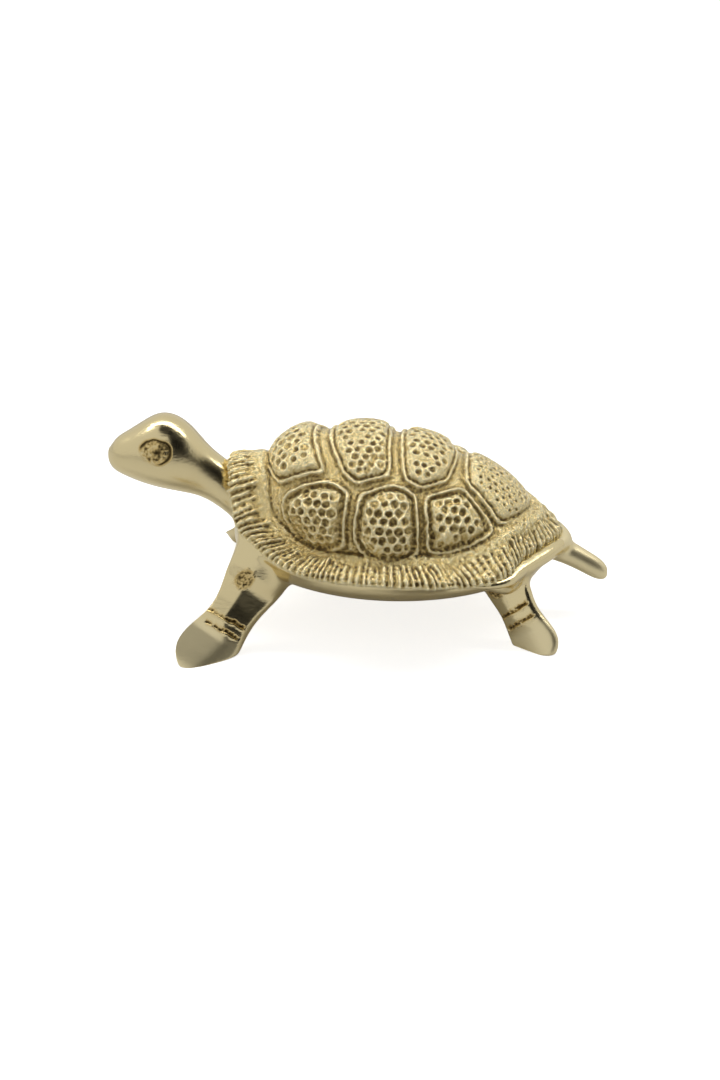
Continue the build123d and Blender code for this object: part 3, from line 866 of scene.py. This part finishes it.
def polished_body():
    """Body and limbs, brazed, filed and polished, with the number of the limb at each point, or -1."""
    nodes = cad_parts
    pan = nodes["belly_pan"].data
    limbs = [nodes[name].data for name in LIMBS]
    filler = filler_meshes()
    mesh = remeshed([pan] + filler + [swollen(limb, LIMB_SWELL) for limb in limbs], BODY_VOXEL)
    points = mesh_points(mesh)
    near_pan, _ = nearest([pan], points)
    near_bead, _ = nearest(filler, points)
    near_limb, limb_numbers = nearest(limbs, points)
    owner = np.where(near_limb < near_pan, limb_numbers, -1)
    relax(mesh, POLISH_ROUNDS)
    seam = np.minimum(near_pan + near_limb, BEAD_SEAM_WEIGHT * near_bead)
    relax(mesh, FILLET_ROUNDS, 1 - smooth_step(FILLET_FULL_SHARE * FILLET_REACH, FILLET_REACH, seam))
    points = mesh_points(mesh)
    filed = np.zeros(len(points), dtype=bool)
    for *leg, _ in LEGS.values():
        filed |= file_leg(points, *leg)
    set_points(mesh, points)
    relax(mesh, LEG_ROUNDS, filed)
    relax(mesh, EYE_ROUNDS, near_eyes(points))
    points = mesh_points(mesh)
    unpolished = np.zeros(len(points))
    satin = 1.0 * (owner == LIMBS.index("tail"))
    for leg in LEGS.values():
        satin = np.maximum(satin, cut_leg(points, unpolished, *leg))
    engrave_eyes(points, unpolished)
    leave_rough_collar(points, unpolished, near_bead)
    points[:, 2] = np.maximum(points[:, 2], 0)
    set_points(mesh, points)
    unpolished = np.clip(unpolished, 0, 1)
    set_attribute(mesh, "unpolished", unpolished)
    set_attribute(mesh, "dullness", np.maximum(unpolished, SATIN_SHARE * satin))
    # Feet and tail get a paler colour, painted light on top of their satin finish
    set_attribute(mesh, "satin_painted_light", satin * (1 - unpolished))
    return mesh, owner


def split_body(mesh, owner):
    """Cuts the polished body into its pieces, each closed, named after the node that it stands for."""
    normals = mesh_normals(mesh)
    corners = np.array([face.vertices[0] for face in mesh.polygons])
    labels = owner[corners]
    pieces = []
    for label, name in enumerate(LIMBS + ["belly_pan"]):
        kept = label if name in LIMBS else -1
        cut = bmesh.new()
        cut.from_mesh(mesh)
        source = cut.verts.layers.int.new("source")
        for vertex in cut.verts:
            vertex[source] = vertex.index
        cut.faces.ensure_lookup_table()
        others = [cut.faces[index] for index in np.where(labels != kept)[0]]
        bmesh.ops.delete(cut, geom=others, context="FACES")
        rims = [edge for edge in cut.edges if edge.is_boundary]
        bmesh.ops.holes_fill(cut, edges=rims, sides=0)
        piece_mesh = bpy.data.meshes.new(name)
        cut.to_mesh(piece_mesh)
        cut.free()
        piece = link(f"{name}_cast", piece_mesh)
        order = np.empty(len(piece_mesh.vertices), dtype=np.int32)
        piece_mesh.attributes["source"].data.foreach_get("value", order)
        piece_mesh.attributes.remove(piece_mesh.attributes["source"])
        piece_mesh.normals_split_custom_set_from_vertices(normals[order].tolist())
        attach(piece, "root")
        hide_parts(name)
        pieces.append(piece)
    return pieces


def brass(name, colour, roughness):
    """Bare brass, with the tree of its material, its shader and the place that its patterns follow."""
    material = bpy.data.materials.new(name)
    material.use_nodes = True
    tree = material.node_tree
    shader = tree.nodes["Principled BSDF"]
    shader.inputs["Metallic"].default_value = 1.0
    shader.inputs["Base Color"].default_value = (*colour, 1)
    shader.inputs["Roughness"].default_value = roughness
    place = tree.nodes.new("ShaderNodeTexCoord").outputs["Object"]
    return material, tree, shader, place


def node(tree, kind, **values):
    """A new shader node with some of its inputs set by name."""
    made = tree.nodes.new(kind)
    for key, value in values.items():
        made.inputs[key].default_value = value
    return made


def attribute(tree, name):
    """The output of a number that the mesh keeps for each point."""
    made = tree.nodes.new("ShaderNodeAttribute")
    made.attribute_name = name
    return made.outputs["Fac"]


def ranged(tree, source, limits, results):
    """The output of one range of values turned into another."""
    made = tree.nodes.new("ShaderNodeMapRange")
    made.inputs["From Min"].default_value, made.inputs["From Max"].default_value = limits
    made.inputs["To Min"].default_value, made.inputs["To Max"].default_value = results
    tree.links.new(source, made.inputs["Value"])
    return made.outputs["Result"]


def combined(tree, operation, first, second):
    """The output of a sum or a product of two values."""
    made = tree.nodes.new("ShaderNodeMath")
    made.operation = operation
    tree.links.new(first, made.inputs[0])
    tree.links.new(second, made.inputs[1])
    return made.outputs["Value"]


def coloured(tree, source, colours):
    """The output of three colours that follow one value, each full at its own value."""
    made = tree.nodes.new("ShaderNodeValToRGB")
    ramp = made.color_ramp.elements
    first, middle, last = colours
    for stop, (position, colour) in zip(ramp, (first, last)):
        stop.position = position
        stop.color = (*colour, 1)
    ramp.new(middle[0]).color = (*middle[1], 1)
    tree.links.new(source, made.inputs["Fac"])
    return made.outputs["Color"]


def raise_grain(tree, shader, source, strength, distance):
    """Makes a shader uneven by the height that a pattern gives."""
    made = node(tree, "ShaderNodeBump", Strength=strength, Distance=distance)
    tree.links.new(source, made.inputs["Height"])
    tree.links.new(made.outputs["Normal"], shader.inputs["Normal"])


def shell_brass():
    """As-cast brass: brown patina and painted shade in grooves, rubbed edges with a painted highlight,
    grainy all over.
    """
    material, tree, shader, place = brass("shell_brass", SHELL_PLAIN, SHELL_ROUGHNESS)
    grains = node(tree, "ShaderNodeTexNoise", **SHELL_GRAINS)
    tree.links.new(place, grains.inputs["Vector"])
    specks = ranged(tree, grains.outputs["Fac"], SPECK_LIMITS, SPECK_SHARES)
    worn = combined(tree, "ADD", attribute(tree, "worn"), specks)
    # Base colour: patina and painted shade in the grooves, rubbed brass and a painted highlight on the edges
    tree.links.new(coloured(tree, worn, SHELL_PATINA_WEAR_AND_PAINTED_LIGHT), shader.inputs["Base Color"])
    raise_grain(tree, shader, grains.outputs["Fac"], *SHELL_BUMP)
    return material


def body_brass():
    """Polished pale brass with fine brushing, satin feet and tail painted paler as light, raw metal where no
    wheel reached, and darker cuts and eyes.
    """
    material, tree, shader, place = brass("body_brass", BODY_POLISHED, BODY_ROUGHNESS)
    stretch = node(tree, "ShaderNodeMapping", Scale=BRUSHING_SCALES)
    brushing = node(tree, "ShaderNodeTexNoise", **BRUSHING)
    clouds = node(tree, "ShaderNodeTexNoise", **BODY_CLOUDS)
    tree.links.new(place, stretch.inputs["Vector"])
    tree.links.new(stretch.outputs["Vector"], brushing.inputs["Vector"])
    tree.links.new(place, clouds.inputs["Vector"])
    raw = coloured(tree, attribute(tree, "unpolished"), BODY_COLOURS)
    colour = tree.nodes.new("ShaderNodeMix")
    colour.data_type = "RGBA"
    # Satin feet and tail in a paler colour, which is painted light
    colour.inputs["B"].default_value = (*BODY_SATIN_PAINTED_LIGHT, 1)
    tree.links.new(attribute(tree, "satin_painted_light"), colour.inputs["Factor"])
    tree.links.new(raw, colour.inputs["A"])
    tree.links.new(colour.outputs["Result"], shader.inputs["Base Color"])
    gloss = ranged(tree, clouds.outputs["Fac"], BODY_CLOUD_LIMITS, BODY_GLOSS_ROUGHNESSES)
    roughness = node(tree, "ShaderNodeMix", B=DULL_ROUGHNESS)
    tree.links.new(attribute(tree, "dullness"), roughness.inputs["Factor"])
    tree.links.new(gloss, roughness.inputs["A"])
    tree.links.new(roughness.outputs["Result"], shader.inputs["Roughness"])
    raise_grain(tree, shader, brushing.outputs["Fac"], *BODY_BUMP)
    return material


def screw_brass():
    """Turned brass, with fine rings from the lathe and a little tarnish."""
    material, tree, shader, place = brass("screw_brass", SCREW_BRASS, SCREW_ROUGHNESS)
    rings = node(tree, "ShaderNodeTexWave", **SCREW_RINGS)
    rings.wave_type = "RINGS"
    rings.rings_direction = "Z"
    tarnish = node(tree, "ShaderNodeTexNoise", **SCREW_TARNISH)
    tree.links.new(place, rings.inputs["Vector"])
    tree.links.new(place, tarnish.inputs["Vector"])
    gloss = ranged(tree, tarnish.outputs["Fac"], (0, 1), SCREW_GLOSS_ROUGHNESSES)
    tree.links.new(gloss, shader.inputs["Roughness"])
    raise_grain(tree, shader, rings.outputs["Fac"], *SCREW_BUMP)
    return material


def dress(piece, material):
    """Gives a piece one material."""
    piece.data.materials.clear()
    piece.data.materials.append(material)


def paper():
    """White paper of the floor, lifted to white for the camera alone, so that it keeps the shadow."""
    material = bpy.data.materials.new("paper")
    material.use_nodes = True
    tree = material.node_tree
    tree.nodes.clear()
    output = tree.nodes.new("ShaderNodeOutputMaterial")
    matt = node(tree, "ShaderNodeBsdfDiffuse", Color=(*PAPER_WHITE, 1))
    lift = node(tree, "ShaderNodeEmission", Color=(1, 1, 1, 1))
    path = tree.nodes.new("ShaderNodeLightPath")
    strength = ranged(tree, path.outputs["Is Camera Ray"], (0, 1), (0, PAPER_LIFT))
    both = tree.nodes.new("ShaderNodeAddShader")
    tree.links.new(strength, lift.inputs["Strength"])
    tree.links.new(matt.outputs["BSDF"], both.inputs[0])
    tree.links.new(lift.outputs["Emission"], both.inputs[1])
    tree.links.new(both.outputs["Shader"], output.inputs["Surface"])
    return material


def seen_room(tree):
    """The output of the room's brightness where metal mirrors it: 1, and less in each dark part."""
    place = tree.nodes.new("ShaderNodeTexCoord").outputs["Generated"]
    falls = []
    for direction, outer, inner in DARK_PARTS:
        facing = tree.nodes.new("ShaderNodeVectorMath")
        facing.operation = "DOT_PRODUCT"
        facing.inputs[1].default_value = Vector(direction).normalized()
        tree.links.new(place, facing.inputs[0])
        fall = ranged(tree, facing.outputs["Value"], (outer, inner), (1, DARKNESS))
        fall.node.interpolation_type = "SMOOTHSTEP"
        falls.append(fall)
    brightness = falls[0]
    for fall in falls[1:]:
        brightness = combined(tree, "MULTIPLY", brightness, fall)
    return brightness


def light_room():
    """A room that is plain for matt things and the camera, and has dark parts where metal mirrors it."""
    world = bpy.data.worlds.new("studio")
    bpy.context.scene.world = world
    world.use_nodes = True
    tree = world.node_tree
    background = tree.nodes["Background"]
    background.inputs["Strength"].default_value = ROOM_BRIGHTNESS
    path = tree.nodes.new("ShaderNodeLightPath")
    for_metal = tree.nodes.new("ShaderNodeMix")
    for_metal.data_type = "RGBA"
    for_metal.inputs["A"].default_value = (ROOM_FOR_MATT, ROOM_FOR_MATT, ROOM_FOR_MATT, 1)
    tree.links.new(path.outputs["Is Glossy Ray"], for_metal.inputs["Factor"])
    tree.links.new(seen_room(tree), for_metal.inputs["B"])
    for_camera = tree.nodes.new("ShaderNodeMix")
    for_camera.data_type = "RGBA"
    for_camera.inputs["B"].default_value = (ROOM_FOR_CAMERA, ROOM_FOR_CAMERA, ROOM_FOR_CAMERA, 1)
    tree.links.new(path.outputs["Is Camera Ray"], for_camera.inputs["Factor"])
    tree.links.new(for_metal.outputs["Result"], for_camera.inputs["A"])
    tree.links.new(for_camera.outputs["Result"], background.inputs["Color"])


def lay_paper():
    """The sheet of white paper that the turtle stands on."""
    signs = np.array([(-1, -1, 0), (1, -1, 0), (1, 1, 0), (-1, 1, 0)])
    mesh = make_mesh("floor", signs * PAPER_HALF_SIZE, [(0, 1, 2, 3)])
    floor = link("floor", mesh)
    mesh.materials.append(paper())


def point_at(thing, azimuth, elevation, distance, target):
    """Puts a lamp or a camera at a distance from a target, and turns it there."""
    toward = direction_to(azimuth, elevation)
    thing.location = Vector(target) * METRES + toward * distance * METRES
    thing.rotation_mode = "QUATERNION"
    thing.rotation_quaternion = toward.to_track_quat("Z", "Y")
    bpy.context.scene.collection.objects.link(thing)


def hang_lamp():
    """The soft box above the turtle, a little towards its far side."""
    lamp = bpy.data.lights.new("top_light", "AREA")
    lamp.shape = "RECTANGLE"
    lamp.size = LAMP_WIDTH * METRES
    lamp.size_y = LAMP_HEIGHT * METRES
    lamp.energy = LAMP_POWER
    thing = bpy.data.objects.new("top_light", lamp)
    point_at(thing, LAMP_AZIMUTH, LAMP_ELEVATION, LAMP_DISTANCE, (0, 0, 0))


def place_camera():
    """The photograph's camera."""
    camera = bpy.data.objects.new("camera", bpy.data.cameras.new("camera"))
    camera.data.lens = CAMERA_LENS
    camera.data.sensor_width = CAMERA_SENSOR
    point_at(camera, CAMERA_AZIMUTH, CAMERA_ELEVATION, CAMERA_DISTANCE, CAMERA_TARGET)
    bpy.context.scene.camera = camera


def direction_to(azimuth, elevation):
    """Unit vector from the turtle to a place round it: azimuth 0 is its left side, and 90 behind it."""
    a, e = radians(azimuth), radians(elevation)
    return Vector((sin(a) * cos(e), -cos(a) * cos(e), sin(e)))


shell = cast_shell()
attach(shell, "root")
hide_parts("carapace")
dress(shell, shell_brass())

polish = body_brass()
for piece in split_body(*polished_body()):
    dress(piece, polish)

dress(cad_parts["shell_screws"], screw_brass())

bpy.context.scene.view_settings.view_transform = "Standard"
light_room()
lay_paper()
hang_lamp()
place_camera()
